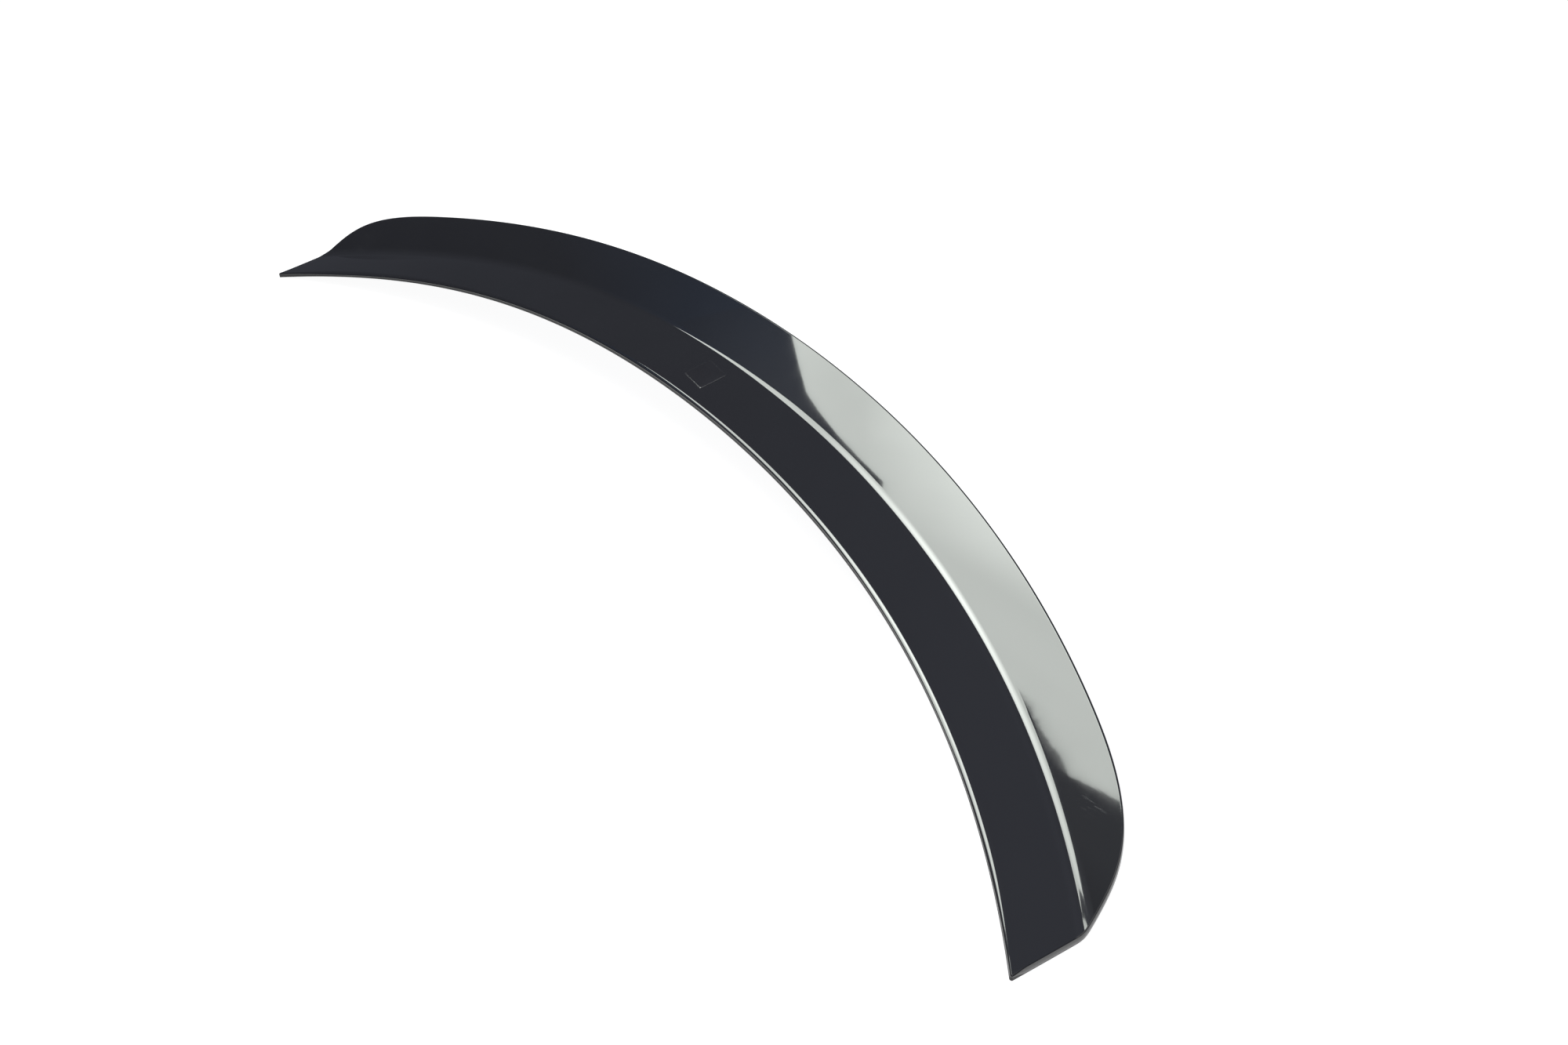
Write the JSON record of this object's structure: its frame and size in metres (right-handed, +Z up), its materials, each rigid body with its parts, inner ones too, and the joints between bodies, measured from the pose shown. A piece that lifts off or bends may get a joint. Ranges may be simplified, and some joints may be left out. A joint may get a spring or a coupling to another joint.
{
  "type": "car rear spoiler",
  "caption": "Low boot-lid lip spoiler: one thin gloss-black sheet, bowed and crowned across the car, with a bonding flange, a soft crease, a kicked-up lip and a turned-down rim.",
  "frame": {"origin": "foot of the front rim on the centreline, where the part beds on the boot lid", "axes": "+X across the car, +Y towards the rear of the car, +Z up, in the attitude it is fixed in"},
  "size_m": [1.2232, 0.2789, 0.1126],
  "materials": {
    "gloss_black": "gloss"
  },
  "bodies": {
    "root": {"spoiler_shell": "gloss_black"}
  },
  "joints": []
}
